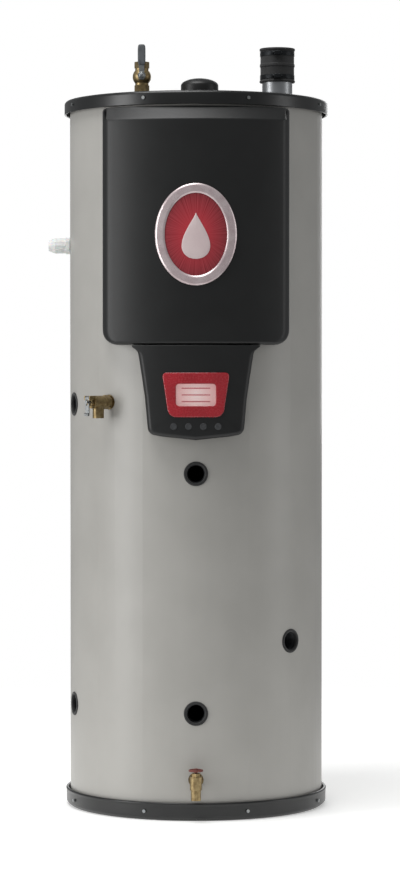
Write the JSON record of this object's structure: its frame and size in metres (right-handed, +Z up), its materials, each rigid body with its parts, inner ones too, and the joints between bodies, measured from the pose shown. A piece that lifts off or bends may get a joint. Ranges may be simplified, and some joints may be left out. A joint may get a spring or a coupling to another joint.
{
  "type": "tank water heater",
  "caption": "Floor-standing cylindrical storage water heater with a top burner compartment behind a bowed pull-off cover, a control console, piping ports and working valves.",
  "frame": {"origin": "centre of the base's underside, on the jacket's axis at floor level", "axes": "+Z up along the tank; the front cover and console face -Y; +X is to the right seen from the front"},
  "size_m": [0.7875, 0.8093, 2.14],
  "materials": {
    "jacket_paint": "satin",
    "black_steel": "satin",
    "cover_black": "satin",
    "badge_silver": "polished",
    "badge_red": "gloss",
    "display_clear": "gloss",
    "circuit_green": "satin",
    "key_grey": "matte",
    "black_rubber": "matte",
    "raw_steel": "satin",
    "clip_black": "matte",
    "cast_brass": "satin",
    "hand_red": "satin",
    "lever_grey": "satin",
    "black_iron": "matte",
    "pale_nylon": "satin",
    "white_pvc": "satin",
    "foam": "matte",
    "cast_aluminium": "satin",
    "porcelain": "satin",
    "motor_black": "satin",
    "wheel_steel": "satin",
    "pump_iron": "matte",
    "pump_red": "satin",
    "impeller_plastic": "satin",
    "copper": "satin",
    "box_grey": "satin"
  },
  "bodies": {
    "cabinet": {"jacket": "jacket_paint", "base_pan": "black_steel", "top_cap": "black_steel", "console_housing": "cover_black", "intake_hood": "cover_black", "display_bezel": "badge_red", "display_window": "display_clear", "display_board": "circuit_green", "control_board": "circuit_green", "port_grommets": "black_rubber", "vent_sleeve": "black_rubber", "tank_spuds": "raw_steel", "small_spuds": "raw_steel", "jacket_screws": "raw_steel", "vent_clamps": "raw_steel", "deck_plate": "raw_steel", "heat_exchanger": "raw_steel", "burner_tube": "raw_steel", "tank_shell": "raw_steel", "tank_head_top": "raw_steel", "tank_head_bottom": "raw_steel", "anode_rod": "raw_steel", "temperature_probes": "raw_steel", "vent_pipe": "raw_steel", "stud_clips": "clip_black", "flue_collector": "clip_black", "blower_housing": "clip_black", "tp_body": "cast_brass", "drain_body": "cast_brass", "gas_cock_body": "cast_brass", "gas_pipe": "black_iron", "tank_skirt": "black_iron", "power_gland": "pale_nylon", "condensate_pipe": "white_pvc", "inlet_diffuser": "white_pvc", "insulation": "foam", "burner_door": "cast_aluminium", "gas_control": "cast_aluminium", "electrodes": "porcelain", "blower_motor": "motor_black", "pump_body": "pump_iron", "pump_motor": "pump_red", "water_pipes": "copper", "control_box": "box_grey"},
    "cover": {"front_cover": "cover_black", "badge_rim": "badge_silver", "badge_field": "badge_red", "cover_studs": "raw_steel"},
    "menu_key": {"key_menu": "key_grey"},
    "down_key": {"key_down": "key_grey"},
    "up_key": {"key_up": "key_grey"},
    "enter_key": {"key_enter": "key_grey"},
    "relief_lever": {"tp_lever": "raw_steel"},
    "relief_stem": {"tp_stem": "raw_steel"},
    "drain_washer_holder": {"drain_washer": "black_rubber"},
    "drain_handle": {"drain_handwheel": "hand_red"},
    "gas_lever": {"gas_cock_ball": "raw_steel", "gas_cock_handle": "lever_grey"},
    "blower_rotor": {"blower_wheel": "wheel_steel"},
    "pump_rotor": {"pump_impeller": "impeller_plastic"}
  },
  "joints": [
    {"name": "cover_pull", "type": "slide", "parent": "cabinet", "child": "cover", "axis": [0, -1, 0], "range_m": [0, 0.3]},
    {"name": "menu_press", "type": "slide", "parent": "cabinet", "child": "menu_key", "axis": [0, 1, 0], "range_m": [0, 0.002], "stiffness_N_per_m": 300, "springref_m": -0.001},
    {"name": "down_press", "type": "slide", "parent": "cabinet", "child": "down_key", "axis": [0, 1, 0], "range_m": [0, 0.002], "stiffness_N_per_m": 300, "springref_m": -0.001},
    {"name": "up_press", "type": "slide", "parent": "cabinet", "child": "up_key", "axis": [0, 1, 0], "range_m": [0, 0.002], "stiffness_N_per_m": 300, "springref_m": -0.001},
    {"name": "enter_press", "type": "slide", "parent": "cabinet", "child": "enter_key", "axis": [0, 1, 0], "range_m": [0, 0.002], "stiffness_N_per_m": 300, "springref_m": -0.001},
    {"name": "relief_lever_pull", "type": "hinge", "parent": "cabinet", "child": "relief_lever", "pos_m": [-0.29241, -0.32475, 1.149], "axis": [-0.7431, 0.6691, 0], "range_deg": [0, 25], "stiffness_Nm_per_rad": 0.3, "springref_deg": -11.46},
    {"name": "relief_stem_lift", "type": "slide", "parent": "cabinet", "child": "relief_stem", "axis": [-0.6691, -0.7431, 0], "range_m": [0, 0.0071]},
    {"name": "drain_washer_lift", "type": "slide", "parent": "cabinet", "child": "drain_washer_holder", "axis": [0, 0, 1], "range_m": [0, 0.0061]},
    {"name": "drain_handle_turn", "type": "hinge", "parent": "drain_washer_holder", "child": "drain_handle", "pos_m": [0, -0.396, 0.14], "axis": [0, 0, 1], "range_deg": [0, 720]},
    {"name": "gas_lever_turn", "type": "hinge", "parent": "cabinet", "child": "gas_lever", "pos_m": [-0.153, 0, 2.052], "axis": [0, -1, 0], "range_deg": [0, 90]},
    {"name": "blower_spin", "type": "hinge", "parent": "cabinet", "child": "blower_rotor", "pos_m": [-0.095, 0.09, 1.845], "axis": [0, 1, 0], "continuous": true},
    {"name": "pump_spin", "type": "hinge", "parent": "cabinet", "child": "pump_rotor", "pos_m": [-0.185, -0.09, 1.4], "axis": [0, 1, 0], "continuous": true}
  ],
  "couplings": [
    {"joint": "relief_stem_lift", "follows": "relief_lever_pull", "m_per_rad": 0.016043},
    {"joint": "drain_washer_lift", "follows": "drain_handle_turn", "m_per_rad": 0.00047746}
  ]
}
